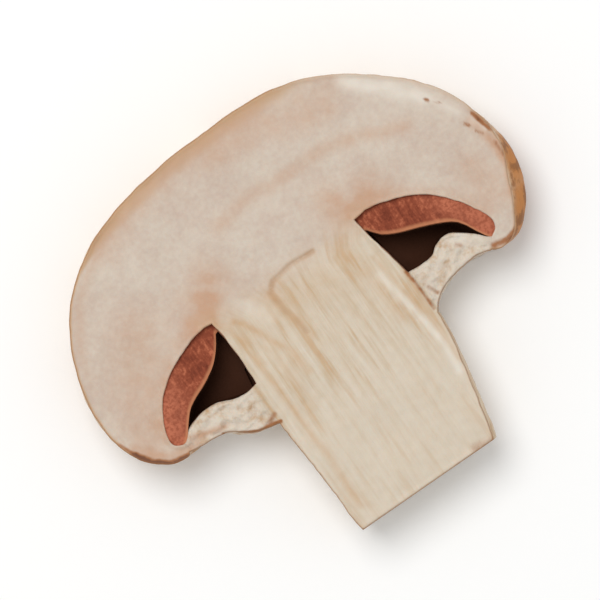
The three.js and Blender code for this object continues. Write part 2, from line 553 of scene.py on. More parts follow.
    def at(self, level: float) -> dict[str, Array]:
        """The lines where a plane across Z cuts the mushroom.

        Args:
            level: The plane's Z.

        Returns:
            X and Y along the rim, the base and each half's lines, which are named with their side.
        """
        halves = [crossing(self.cap, side, level, cap_swelling) for side in (Side.LEFT, Side.RIGHT)]
        rim = along(np.vstack([halves[0][::-1], halves[1]]), self.rim_shares)
        lines = {"rim": self.roughened(rim, level)}
        for side in Side:
            crossed = {
                name: crossing(line, side, level, relief) for name, (line, relief) in self.turned.items()
            }
            margin = lines["rim"][-1 if side is Side.RIGHT else 0]
            upper, lower = crossed["stem_upper"], crossed["stem_lower"]
            crossed["bed"] = joined(crossed["bed"], crossed["bed"][0], upper[0])
            crossed["veil_upper"] = joined(crossed["veil_upper"], crossed["bed"][0], upper[-1])
            crossed["veil_lower"] = joined(crossed["veil_lower"], margin, lower[0])
            for name, line in crossed.items():
                lines[f"{name}_{side.name.lower()}"] = self.roughened(line, level)
        left, right = lines["stem_lower_left"][-1], lines["stem_lower_right"][-1]
        lines["base"] = left + gathered(self.across, self.pull)[:, None] * (right - left)
        return lines


def ruled(first: Array, second: Array, shares: Array) -> Array:
    """A grid of points on straight lines between partners of two lines: first plus share times the way."""
    return first + shares[:, None, None] * (second - first)


@dataclass
class Sheet:
    """A grid of a piece's surface.

    Attributes:
        points: X, Y and Z of each place of the grid.
        finish: The number of its finish among the piece's.
        cut: 1 on the upper cut face, -1 on the lower one and 0 elsewhere.
        veil: How much each place belongs to the veil, from 0 to 1.
    """

    points: Array
    finish: int
    cut: int = 0
    veil: Array | float = 0.0


@dataclass
class Welded:
    """One closed surface made of sheets that share their edges.

    Attributes:
        points: Its vertices.
        faces: Four vertex numbers for each face.
        finishes: Each face's finish.
        cut: What each vertex lies on, as in Sheet.
        veil: Each vertex's share of the veil.
    """

    points: Array
    faces: Array
    finishes: Array
    cut: Array
    veil: Array

    @classmethod
    def of(cls, sheets: Sequence[Sheet]) -> "Welded":
        """Joins sheets where their places agree to a ten-thousandth of a millimetre.

        Args:
            sheets: The sheets, which have equal places along the edges that they share.

        Returns:
            The surface. A vertex is on a cut face where any of its sheets is, and it has its sheets' least
            share of the veil.
        """
        loose, faces, finishes, cut, veil = [], [], [], [], []
        first = 0
        for sheet in sheets:
            rows, columns = sheet.points.shape[:2]
            number = first + np.arange(rows * columns).reshape(rows, columns)
            corners = number[:-1, :-1], number[1:, :-1], number[1:, 1:], number[:-1, 1:]
            faces.append(np.stack([corner.ravel() for corner in corners], 1))
            finishes.append(np.full(len(faces[-1]), sheet.finish))
            loose.append(sheet.points.reshape(-1, 3))
            cut.append(np.full(rows * columns, sheet.cut))
            veil.append(np.broadcast_to(sheet.veil, (rows, columns)).ravel())
            first += rows * columns
        loose = np.vstack(loose)
        _, kept, number = np.unique(np.round(loose, 4), axis=0, return_index=True, return_inverse=True)
        number = number.ravel()
        joined_cut, joined_veil = np.zeros(len(kept), int), np.ones(len(kept))
        cut, veil = np.concatenate(cut), np.concatenate(veil)
        on_cut = cut != 0
        joined_cut[number[on_cut]] = cut[on_cut]
        np.minimum.at(joined_veil, number, veil)
        quads = number[np.vstack(faces)]
        return cls(loose[kept], quads, np.concatenate(finishes), joined_cut, joined_veil)


class Flesh(Enum):
    """The finishes of the cap-and-stem piece, in the order of its material slots."""

    CUT = 0
    CAP_SKIN = 1
    STEM_SKIN = 2
    VEIL = 3
    CHAMBER = 4


@dataclass(frozen=True)
class Placement:
    """Where the mushroom's axis, stem end and middle plane lie in the row frame, in metres.

    Attributes:
        origin: The row-frame place of the mushroom's own origin.
    """

    origin: tuple[float, float, float]

    @classmethod
    def of_frame(cls, section: Section) -> "Placement":
        """Fits the section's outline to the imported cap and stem: same middle in X, same foot in Y and Z.

        Args:
            section: The section, whose widest rim is sought at levels through the slice.

        Returns:
            The place.
        """
        low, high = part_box("cap_and_stem")
        levels = np.linspace(LOWER_CUT, UPPER_CUT, 15)
        rims = [section.at(level)["rim"] for level in levels]
        widest = np.vstack(rims)[:, 0]
        middle = (widest.min() + widest.max()) / 2 * METRES
        return cls(((low.x + high.x) / 2 - middle, low.y, low.z - LOWER_CUT * METRES))

    def metres(self, points: Array) -> Array:
        """Points of the mushroom's own frame in the row frame."""
        return points * METRES + np.array(self.origin)


def linked(name: str, data: bpy.types.ID) -> bpy.types.Object:
    """Makes an object of a mesh, a lamp or a camera.

    Args:
        name: The object's name.
        data: What it holds.

    Returns:
        The object, linked to the scene.
    """
    piece = bpy.data.objects.new(name, data)
    bpy.context.scene.collection.objects.link(piece)
    return piece


def mesh_object(
    name: str,
    points: Array,
    faces: Array,
    materials: Sequence[bpy.types.Material],
    finishes: Array | None = None,
    marks: Mapping[str, Array] | None = None,
) -> bpy.types.Object:
    """Makes a smooth closed mesh whose faces point outwards.

    Args:
        name: The object's name.
        points: Vertices in the row frame, in metres.
        faces: Vertex numbers of each face.
        materials: Its materials, in the order of their slots.
        finishes: The slot of each face, or None where there is one.
        marks: Numbers, or vectors of three numbers, kept on the vertices by name.

    Returns:
        The object, linked to the scene.
    """
    mesh = bpy.data.meshes.new(name)
    mesh.from_pydata(points.tolist(), [], faces.tolist())
    for material in materials:
        mesh.materials.append(material)
    if finishes is not None:
        mesh.polygons.foreach_set("material_index", finishes.astype(np.int32))
    for mark, values in (marks or {}).items():
        vector = values.ndim == 2
        layer = mesh.attributes.new(mark, "FLOAT_VECTOR" if vector else "FLOAT", "POINT")
        layer.data.foreach_set("vector" if vector else "value", values.astype(np.float32).ravel())
    work = bmesh.new()
    work.from_mesh(mesh)
    bmesh.ops.recalc_face_normals(work, faces=work.faces)
    work.to_mesh(mesh)
    work.free()
    mesh.polygons.foreach_set("use_smooth", np.ones(len(mesh.polygons), bool))
    mesh.update()
    return linked(name, mesh)


@dataclass(frozen=True)
class Stroke:
    """A soft stain along a line on the cut faces.

    Attributes:
        line: Its points, in X and Y.
        width: The distance at which it has faded to a third.
        strength: In its middle.
        unevenness: How much a wobble of 1 strengthens it.
    """

    line: tuple[tuple[float, float], ...]
    width: float
    strength: float
    unevenness: float = 0.2

    def over(self, flat: Array, wobble: Array) -> Array:
        """Its strength at points: a bell over the distance from the line, made uneven by a wobble."""
        share = bell(distance(flat, np.array(self.line)), 0, self.width)
        return self.strength * share * (1 + self.unevenness * wobble)


BLUSH_STROKES = (
    Stroke(
        ((-3.0, 30.3), (0.7, 31.1), (3.8, 30.7), (7.3, 30.8), (9.7, 30.6), (12.9, 29.7), (16.5, 28.2)),
        0.7,
        0.45,
    ),
    Stroke(((0.4, 35.6), (5.4, 35.4), (7.9, 34.2), (11.3, 33.5)), 1.2, 0.38),
    Stroke(((-12.8, 34.4), (-8.0, 36.0), (-3.0, 36.8), (2.5, 37.0), (8.0, 36.4), (12.8, 34.9)), 1.3, 0.3),
    Stroke(((-6.4, 26.6), (-8.2, 25.4), (-8.5, 23.9)), 2.0, 0.7),
    Stroke(((-7.6, 25.2), (-8.5, 23.9), (-9.6, 23.9)), 0.9, 0.75),
    Stroke(((7.0, 26.0), (7.9, 24.4), (10.4, 25.0)), 2.0, 0.65),
    Stroke(((7.6, 24.6), (9.2, 24.3)), 0.8, 0.55),
    Stroke(((9.5, 24.5), (12.9, 23.2), (15.9, 21.0), (18.3, 17.9)), 0.9, 0.4),
    Stroke(((-9.4, 24.3), (-12.5, 23.0), (-15.3, 20.8), (-17.7, 17.6)), 0.9, 0.4),
    Stroke(((-14.5, 26.0), (-17.0, 22.5), (-18.6, 18.6)), 2.8, 0.5),
    Stroke(((19.4, 21.5), (20.3, 18.4)), 1.6, 0.4),
    Stroke(((21.7, 25.2), (22.3, 22.5), (22.1, 19.8), (21.3, 17.4)), 0.5, 0.8),
    Stroke(((-20.6, 18.0), (-19.6, 16.6), (-18.2, 15.5), (-16.5, 15.1), (-15.2, 15.3)), 0.5, 0.6),
    Stroke(((-15.9, 16.0), (-14.3, 15.4), (-12.8, 15.0)), 0.3, 0.7),
    Stroke(((-6.6, 22.4), (-5.9, 21.6), (-3.8, 17.2), (-3.5, 14.8)), 0.35, 0.6),
    Stroke(((-7.0, 20.7), (-6.8, 16.7), (-6.6, 11.4), (-6.4, 7.4), (-6.6, 2.0)), 0.35, 0.5),
    Stroke(((-7.4, 22.0), (-5.2, 18.2), (-4.9, 12.0)), 0.5, 0.25),
    Stroke(((-2.4, 22.6), (-2.1, 20.6), (-1.6, 18.6), (-1.5, 17.4)), 0.5, 0.45),
    Stroke(((5.2, 22.6), (6.0, 19.0), (6.4, 14.0)), 0.7, 0.35),
    Stroke(((7.3, 20.0), (7.9, 16.0), (8.7, 12.0), (8.5, 8.0)), 0.25, 0.35),
    Stroke(((-3.0, 21.5), (3.5, 20.5)), 2.5, 0.25),
)
BRUISE_STROKES = (
    Stroke(((-8.2, 12.5), (-10.3, 12.85), (-11.6, 13.5), (-13.2, 14.5)), 0.2, 1.0),
    Stroke(((-8.3, 13.3), (-9.3, 12.9)), 0.35, 0.6),
    Stroke(((-21.6, 19.2), (-20.9, 17.4)), 0.2, 0.8),
    Stroke(((-20.9, 17.4), (-20.0, 16.0), (-18.7, 15.0), (-17.0, 14.6)), 0.33, 1.9),
    Stroke(((9.0, 17.2), (9.15, 15.2), (9.2, 13.0)), 0.22, 0.8),
    Stroke(((21.15, 25.3), (21.4, 24.9)), 0.2, 0.95),
    Stroke(((21.6, 24.2), (22.0, 23.6)), 0.16, 0.85),
    Stroke(((22.2, 25.7), (22.75, 23.6)), 0.22, 1.2),
    Stroke(((22.5, 22.3), (22.45, 21.0)), 0.25, 0.6),
    Stroke(((19.4, 29.2), (19.6, 28.95)), 0.2, 0.8),
    Stroke(((20.0, 28.5), (20.4, 28.1)), 0.13, 0.7),
    Stroke(((21.9, 17.0), (21.2, 15.8), (20.1, 14.8), (18.4, 14.3), (17.0, 14.6)), 0.34, 1.15),
    Stroke(((14.2, 16.6), (14.5, 16.3)), 0.3, 0.7),
    Stroke(((9.9, 14.9), (10.3, 14.0)), 0.25, 0.7),
    Stroke(((7.0, 0.2), (5.0, 0.3)), 0.6, 0.5),
)
PALE_STROKES = (
    Stroke(((6.8, 18.4), (7.3, 15.4), (7.9, 12.0), (8.2, 9.6), (7.9, 7.0)), 0.42, 0.8),
    Stroke(((14.2, 34.7), (16.9, 32.3), (19.2, 29.6)), 0.8, 0.9),
    Stroke(((19.6, 29.4), (21.2, 26.6)), 0.4, 0.5),
    Stroke(((21.75, 25.2), (22.3, 23.9)), 0.25, 1.6),
    Stroke(((-4.6, 22.6), (-3.6, 21.0)), 0.8, 0.6),
    Stroke(((13.7, 17.5), (14.9, 17.1)), 0.5, 0.8),
)


@dataclass
class CapAndStem:
    """The slice's one body of flesh: the cap with its margin, the stem, and the veil's remains.

    Attributes:
        section: The lines that bound it.
        placement: Where it goes.
        depth: Points from the rim to the gill beds.
        back_step: The lower cut face keeps every so many of those points.
        levels: Levels from one cut face to the other.
        edge: Radius of the soft edge round the cut faces.
        veil_edge: The same on the veil, which is torn.
        veil_sink: How far the veil's torn top lies under the cut.
        swells, fine_swells: Heights of the cut flesh's wide and small unevenness.
        ridges: Height of the ridges along the stem.
        torn, fine_torn: Heights of the veil's lumps.
        drop: How far the relief lies under the cut planes.
        relief_from: The distance from the edge at which the relief is full.
        lower_relief: How much of the upper face's relief the lower one has.
        skin: Thickness of the skin's tone on the cut face.
        crown_skin, right_skin: What it gains left of the crown and at the upper right.
        crack_depth: Of the split in the stem's top.
        crack_width: The distance from its line at which it has faded to a third.
        crack: Its line, in X and Y.
    """

    section: Section
    placement: Placement
    depth: int = 57
    back_step: int = 4
    levels: int = 24
    edge: float = 0.16
    veil_edge: float = 0.5
    veil_sink: float = 0.75
    swells: float = 0.05
    fine_swells: float = 0.012
    ridges: float = 0.022
    torn: float = 0.1
    fine_torn: float = 0.04
    drop: float = 0.08
    relief_from: float = 0.5
    lower_relief: float = 0.3
    skin: float = 0.26
    crown_skin: float = 1.2
    right_skin: float = 0.2
    crack_depth: float = 0.1
    crack_width: float = 0.16
    crack: tuple[tuple[float, float], ...] = (
        (-1.6, 17.9), (-1.75, 19.2), (-2.15, 20.6), (-2.3, 22.6), (-1.6, 23.4), (0.7, 23.8), (3.0, 23.6)
    )

    def cut_face(self, level: float, cut: int, step: int) -> list[Sheet]:
        """The sheets of one cut face: the cap, the stem between its two edges, and the veil on each side.

        Each is ruled between two of the section's lines. The depth shares gather at the edges.

        Args:
            level: The face's Z.
            cut: 1 for the upper face and -1 for the lower one.
            step: It keeps every so many of the depth points.

        Returns:
            The sheets.
        """
        lines = self.section.at(level)
        shares = gathered(self.depth, self.section.pull)[::step]
        columns = gathered(self.section.across, self.section.pull)
        top_left, top_right = lines["stem_upper_left"][0], lines["stem_upper_right"][0]
        stem_top = top_left + columns[:, None] * (top_right - top_left)
        inner = np.vstack([lines["bed_left"], stem_top[1:-1], lines["bed_right"][::-1]])
        flat = [(ruled(lines["rim"], inner, shares), Flesh.CUT, 0.0)]
        edges = []
        for side in ("left", "right"):
            upper, lower = lines[f"stem_upper_{side}"], lines[f"stem_lower_{side}"]
            hidden = upper[-1] + shares[1:-1, None] * (lower[0] - upper[-1])
            edges.append(np.vstack([upper, hidden, lower]))
            veil = ruled(lines[f"veil_lower_{side}"], lines[f"veil_upper_{side}"], shares)
            flat.append((veil, Flesh.VEIL, self.section.veil_share))
        flat.append((ruled(edges[0], edges[1], columns), Flesh.CUT, 0.0))
        return [
            Sheet(np.dstack([grid, np.full(grid.shape[:2], level)]), finish.value, cut, veil)
            for grid, finish, veil in flat
        ]

    def walls(self) -> list[Sheet]:
        """The sheets between the cut faces: each line of the section stacked over the levels.

        Returns:
            The sheets.
        """
        levels = np.linspace(LOWER_CUT + self.edge, UPPER_CUT - self.edge, self.levels)
        stacks = [self.section.at(level) for level in levels]
        finishes = {
            "rim": Flesh.CAP_SKIN,
            "base": Flesh.CUT,
            "stem_lower": Flesh.STEM_SKIN,
            "veil_lower": Flesh.VEIL,
            "veil_upper": Flesh.CHAMBER,
            "stem_upper": Flesh.CHAMBER,
            "bed": Flesh.CHAMBER,
        }
        sheets = []
        for name in stacks[0]:
            kind = name.removesuffix("_left").removesuffix("_right")
            flat = np.stack([lines[name] for lines in stacks])
            heights = np.broadcast_to(levels[:, None], flat.shape[:2])
            belongs = self.section.veil_share if kind.startswith("veil") else 0.0
            sheets.append(Sheet(np.dstack([flat, heights]), finishes[kind].value, 0, belongs))
        return sheets

    def outline(self, level: float) -> Array:
        """The closed line round the flesh.

        Args:
            level: Its Z.

        Returns:
            Its points, in X and Y.
        """
        lines = self.section.at(level)
        down = [lines["veil_lower_right"], lines["stem_lower_right"]]
        back = [lines["base"][::-1], lines["stem_lower_left"][::-1], lines["veil_lower_left"][::-1]]
        return np.vstack([lines["rim"], *down, *back])

    def inner_outline(self, level: float, side: str) -> Array:
        """The closed line round the hollow on one side.

        Args:
            level: Its Z.
            side: "right" or "left".

        Returns:
            Its points, in X and Y.
        """
        lines = self.section.at(level)
        bed, stem, veil = (lines[f"{name}_{side}"] for name in ("bed", "stem_upper", "veil_upper"))
        return np.vstack([bed, stem, veil[::-1]])

    def to_edge(self, points: Array, level: float) -> tuple[Array, Array]:
        """How far points on a cut face are from the flesh's edges.

        Args:
            points: The points.
            level: The face's Z.

        Returns:
            The distance from the nearest edge, and from the outer edge alone.
        """
        outer = distance(points[:, :2], self.outline(level))
        inner = [self.inner_outline(level, side) for side in ("left", "right")]
        return np.minimum.reduce([outer, *(distance(points[:, :2], line) for line in inner)]), outer

    def swell(self, body: Welded) -> Array:
        """Rounds the cut faces' edges, sinks the veil and gives the cut faces their relief.

        On a cut face a point at distance d from the edge rises by the height of a quarter circle of the
        edge's radius. The relief is the sum of wide and small swells, ridges along the stem and the veil's
        lumps, less the bell of the split and a drop that keeps it within the cut planes. The veil sinks by
        its depth times the share of the way from the lower cut up.

        Args:
            body: The welded flesh, whose points move.

        Returns:
            The distance of each vertex from the outer edge of its cut face, which is far on the walls.
        """
        points = body.points
        gap, outer = np.zeros(len(points)), np.full(len(points), FAR)
        for cut, level in ((1, UPPER_CUT - self.edge), (-1, LOWER_CUT + self.edge)):
            on = body.cut == cut
            gap[on], outer[on] = self.to_edge(points[on], level)
        radius = self.edge + (self.veil_edge - self.edge) * body.veil * (body.cut > 0)
        inward = 1 - np.clip(gap / radius, 0, 1)
        dome = radius * np.sqrt(1 - inward**2) * (body.cut != 0)
        height = (points[:, 2] - LOWER_CUT) / (UPPER_CUT - LOWER_CUT)
        sink = self.veil_sink * body.veil * np.clip(height, 0, 1)
        flat = points[:, :2]
        swells = self.swells * FLESH_SWELLS(flat) + self.fine_swells * FINE_FLESH_SWELLS(flat)
        on_stem = ease(points[:, 1], 26, 22)
        ridges = self.ridges * on_stem * STEM_RIDGES(flat)
        lumps = self.torn * VEIL_LUMPS(flat) + self.fine_torn * FINE_VEIL_LUMPS(flat)
        crack = self.crack_depth * bell(distance(flat, np.array(self.crack)), 0, self.crack_width)
        mask = ease(gap, 0, self.relief_from) * (body.cut != 0)
        share = np.where(body.cut < 0, self.lower_relief, 1.0)
        relief = mask * (share * (swells + ridges + body.veil * lumps) - crack * (body.cut > 0) - self.drop)
        points[:, 2] += body.cut * (dome + relief) - sink
        return outer

    def marks(self, body: Welded, outer: Array) -> dict[str, Array]:
        """What the finishes read from the vertices.

        The tones follow the photographed cut face: each is a sum of strokes, or comes in over its zone.

        Args:
            body: The welded flesh, as swell leaves it.
            outer: Each vertex's distance from the outer edge of its cut face.

        Returns:
            Numbers and vectors of each vertex, by name. skin is the distance from the rim over the skin's
            thickness, edge the distance from the outer edge and crack that from the split. rim_tone, blush,
            bruise, pale, right_rim, stemness, streaked and veil are strengths, of which bruise goes up to 2
            and the others to about 1. fibre holds coordinates that run along the stem's fibres.
        """
        points = body.points
        flat = points[:, :2]
        x, y, z = points.T
        rim = self.section.at(UPPER_CUT - self.edge)["rim"]
        to_rim = np.full(len(points), FAR)
        on = body.cut != 0
        to_rim[on] = distance(flat[on], rim)
        gained = self.crown_skin * BESIDE_CROWN.over(x, y) + self.right_skin * UPPER_RIGHT.over(x, y)
        wobble = np.tanh(STAIN_WOBBLE(flat))
        blush, bruise, pale = (
            sum(stroke.over(flat, wobble) for stroke in strokes)
            for strokes in (BLUSH_STROKES, BRUISE_STROKES, PALE_STROKES)
        )
        beneath_skin = 0.35 * bell(to_rim, 0.9, 0.6) * UNDER_SKIN.over(x, y)
        bruise_depth = 1.6
        shown = np.where(on, 1.0, bell(z, UPPER_CUT, bruise_depth))
        right_rim = RIGHT_RIM.over(x, y)
        rim_tone = (1 - 0.75 * PALE_RIM.over(x, y)) * (1 - 0.6 * right_rim)
        stem_edge, half_width, fork, spread = 9.6, 8.3, 22, 0.9
        width = half_width + spread * np.maximum(y - fork, 0)
        return {
            "skin": to_rim / (self.skin + gained),
            "edge": outer,
            "rim_tone": rim_tone,
            "blush": np.clip(beneath_skin + blush, 0, 1),
            "bruise": np.clip(shown * bruise, 0, 2),
            "pale": np.clip(pale, 0, 1),
            "right_rim": right_rim,
            "crack": np.where(body.cut < 0, FAR, distance(flat, np.array(self.crack))),
            "stemness": ease(y, 25.5, 21) * (np.abs(x) < stem_edge),
            "streaked": 0.4 + 0.7 * ease(y, 7, 15),
            "fibre": np.column_stack([x / width * half_width, y, z]),
            "veil": body.veil,
        }

    def build(self, finishes: Mapping[Flesh, bpy.types.Material]) -> bpy.types.Object:
        """Makes the piece.

        Args:
            finishes: A material for each of its finishes.

        Returns:
            The piece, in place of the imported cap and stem.
        """
        sheets = self.walls()
        sheets += self.cut_face(UPPER_CUT - self.edge, 1, 1)
        sheets += self.cut_face(LOWER_CUT + self.edge, -1, self.back_step)
        body = Welded.of(sheets)
        marks = self.marks(body, self.swell(body))
        materials = [finishes[finish] for finish in Flesh]
        points = self.placement.metres(body.points)
        piece = mesh_object("flesh_of_cap_and_stem", points, body.faces, materials, body.finishes, marks)
        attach(piece, "root")
        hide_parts("cap_and_stem")
        return piece


@dataclass
class Gills:
    """The gills on one side of the stem: thin radial blades that hang from the bed.

    Attributes:
        side: The half of the mushroom.
        placement: Where they go.
        pitch: Angle from one full-length gill to the next, in degrees.
        lowest, highest: The first and last gill's angle above the middle plane, in degrees.
        floor: Gills below this angle are the long ones, in degrees.
        thickness: Of a gill.
        root_width: Its width at the root, as a share of that.
        taper: What it loses of that share towards its lower edge.
        inner: Radius at which full-length gills start.
        outer_right, outer_left: Radii at which the gills end, just inside the flesh.
        short_inner: Radius at which the short gills between them start.
        root: How far a gill goes into the bed.
        recess: How far the cut gills lie under the cut faces.
        cut_spread: What some gills add to that at the upper cut.
        edge_spread: How far the gills' lower edges differ in height, up or down.
        least_depth: From a gill's root to its lower edge.
        thin_from: The share of its depth at which the lower edge rounds off.
        sway: How far its lower edge bends to the sides.
        ripple: Height of the small waves on its faces.
        above_board: How far the gills keep above the lower cut.
        least_length: Of a gill, along the radius.
        steps: Steps between landmarks of the lines that it follows.
        around: Points round a gill's outline.
        outwards: Points from its inner to its outer end.
    """

    side: Side
    placement: Placement
    pitch: float = 2.4
    lowest: float = -37.1
    highest: float = 4.6
    floor: float = -14.4
    thickness: float = 0.27
    root_width: float = 1.15
    taper: float = 0.3
    inner: float = 7.75
    outer_right: float = 18.3
    outer_left: float = 17.65
    short_inner: float = 11.4
    root: float = 0.15
    recess: float = 0.03
    cut_spread: float = 0.08
    edge_spread: float = 0.12
    least_depth: float = 0.6
    thin_from: float = 0.86
    sway: float = 0.06
    ripple: float = 0.02
    above_board: float = 0.05
    least_length: float = 0.4
    steps: int = 24
    around: int = 22
    outwards: int = 24

    @property
    def outer(self) -> float:
        """The radius at which this side's gills end."""
        return self.outer_right if self.side is Side.RIGHT else self.outer_left

    def heights(self, rows: Sequence[Row], radius: Array, tilt: float) -> Array:
        """The height of a turned line on this half.

        Args:
            rows: Its landmarks.
            radius: Where it is asked for.
            tilt: The angle above the middle plane, in radians.

        Returns:
            A height for each radius.
        """
        line = smooth_line(across_cut(rows), self.steps)
        share = (1 + math.cos(tilt)) / 2
        own, other = (line[:, :2], line[:, 2:]) if self.side is Side.RIGHT else (line[:, 2:], line[:, :2])
        mixed = share * own + (1 - share) * other
        order = np.argsort(mixed[:, 0])
        return np.interp(radius, mixed[order, 0], mixed[order, 1])

    def blade(self, tilt: float, inner: float, edge: Sequence[Row], number: int) -> tuple[Array, Array]:
        """One gill: a closed outline carried outwards along the radius.

        The outline runs down one face, round the thin lower edge and up the other face. A point's distance
        along the radius stops where the gill meets a cut face: at (cut - w cos tilt) / sin tilt, for w from
        its middle.

        Args:
            tilt: Angle above the middle plane, in radians.
            inner: The radius at which it starts.
            edge: Landmarks of its lower edge.
            number: Of the gill, which seeds its waviness.

        Returns:
            A grid of points, and the same grid's distances from the lower edge.
        """
        first_seed = 900 if self.side is Side.RIGHT else 1400
        draw = np.random.default_rng(first_seed + number)
        half = self.around // 2
        down = np.concatenate([np.linspace(0, 1, half), np.linspace(1, 0, self.around - half)])
        face = np.concatenate([np.full(half, 1.0), np.full(self.around - half, -1.0)])
        rounding = ((down - self.thin_from) / (1 - self.thin_from)).clip(0, 1)
        w = self.thickness / 2 * face * np.sqrt(1 - rounding**2) * (self.root_width - self.taper * down)
        upper = UPPER_CUT - self.recess
        cut = upper - self.cut_spread * draw.random() if tilt > 0 else LOWER_CUT + self.recess
        level = abs(tilt) < 0.01
        reach = np.full(len(w), FAR) if level else (cut - w * math.cos(tilt)) / math.sin(tilt)
        outer = np.minimum(reach, self.outer)
        share = np.linspace(0, 1, self.outwards)[:, None]
        radius = inner + share * (outer - inner)
        top = self.heights(GILL_BED[2:], radius, tilt) + self.root
        low = self.heights(edge, radius, tilt) + draw.uniform(-self.edge_spread, self.edge_spread)
        low = np.minimum(low, top - self.least_depth)
        y = top + down * (low - top)
        sway = self.sway * np.sin(radius * draw.uniform(0.6, 1.1) + draw.uniform(0, 6.3)) * down
        across = w + sway + self.ripple * np.sin(2.4 * y + number)
        x = self.side.value * (radius * math.cos(tilt) - across * math.sin(tilt))
        z = radius * math.sin(tilt) + across * math.cos(tilt)
        z = np.clip(z, LOWER_CUT + self.above_board, UPPER_CUT - 0.5 * self.recess)
        return np.stack([x, y, z], 2), (1 - down) * (top - low)

    def blade_faces(self, first: int) -> Array:
        """The faces of a gill, along its length and then across both its ends.

        Args:
            first: The number of its first vertex.

        Returns:
            Four vertex numbers for each face.
        """
        index = first + np.arange(self.outwards * self.around).reshape(self.outwards, self.around)
        ring = np.roll(index, -1, axis=1)
        faces = [np.stack([index[:-1], index[1:], ring[1:], ring[:-1]], 2).reshape(-1, 4)]
        half = self.around // 2
        for end in (index[0], index[-1]):
            left, right = end[:half], end[::-1][:half]
            faces.append(np.stack([left[:-1], left[1:], right[1:], right[:-1]], 1))
        return np.vstack(faces)

    def starts(self) -> list[tuple[float, float]]:
        """The angle and the inner radius of each gill.

        Returns:
            Those of the full-length gills, and then those of the short ones between them.
        """
        full = np.arange(self.lowest, self.highest, self.pitch)
        short = full[:-1] + self.pitch / 2
        return [(tilt, self.inner) for tilt in full] + [(tilt, self.short_inner) for tilt in short]

    def build(self, material: bpy.types.Material) -> bpy.types.Object:
        """Makes the gills on this side.

        Args:
            material: Their material.

        Returns:
            The piece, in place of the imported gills.
        """
        points, faces, edges = [], [], []
        for number, (tilt, inner) in enumerate(self.starts()):
            angle = math.radians(tilt)
            cut = UPPER_CUT if tilt > 0 else LOWER_CUT
            reach = cut / math.sin(angle) if abs(tilt) > 1 else FAR
            if reach < inner + self.least_length:
                continue
            line = LONG_GILL_EDGE if tilt < self.floor else GILL_EDGE
            grid, edge = self.blade(angle, inner, line, number)
            faces.append(self.blade_faces(len(points) * self.outwards * self.around))
            points.append(grid.reshape(-1, 3))
            edges.append(edge.ravel())
        side = self.side.name.lower()
        own = np.vstack(points)
        outward = (np.hypot(own[:, 0], own[:, 2]) - self.inner) / (self.outer - self.inner)
        marks = {"edge": np.concatenate(edges), "outward": outward}
        placed = self.placement.metres(own)
        piece = mesh_object(f"gill_blades_{side}", placed, np.vstack(faces), [material], None, marks)
        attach(piece, "root")
        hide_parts(f"gills_{side}")
        return piece


def linear(colour: Rgb) -> tuple[float, float, float, float]:
    """An eight-bit sRGB colour as the linear one that shaders take: ((c + 0.055) / 1.055) to the 2.4."""
    shares = [c / 255 for c in colour]
    return (*(c / 12.92 if c <= 0.04045 else ((c + 0.055) / 1.055) ** 2.4 for c in shares), 1.0)


class Value:
    """A number that changes over a surface: a socket that Python's signs work on."""

    def __init__(self, nodes: "Nodes", socket: bpy.types.NodeSocket) -> None:
        """Wraps an output socket."""
        self.nodes = nodes
        self.socket = socket

    def __add__(self, other: "Value | float") -> "Value":
        """The sum."""
        return self.nodes.maths("ADD", self, other)

    __radd__ = __add__

    def __sub__(self, other: "Value | float") -> "Value":
        """The difference."""
        return self.nodes.maths("SUBTRACT", self, other)

    def __rsub__(self, other: float) -> "Value":
        """A number less this."""
        return self.nodes.maths("SUBTRACT", other, self)

    def __mul__(self, other: "Value | float") -> "Value":
        """The product."""
        return self.nodes.maths("MULTIPLY", self, other)

    __rmul__ = __mul__

    def between(self, low: float, high: float) -> "Value":
        """Goes smoothly from 0 at low to 1 at high.

        Args:
            low: Where it is 0. It may be larger than high, and then it falls.
            high: Where it is 1.

        Returns:
            A number from 0 to 1.
        """
        step = self.nodes.smooth_step(self, min(low, high), max(low, high))
        return step if low < high else 1 - step


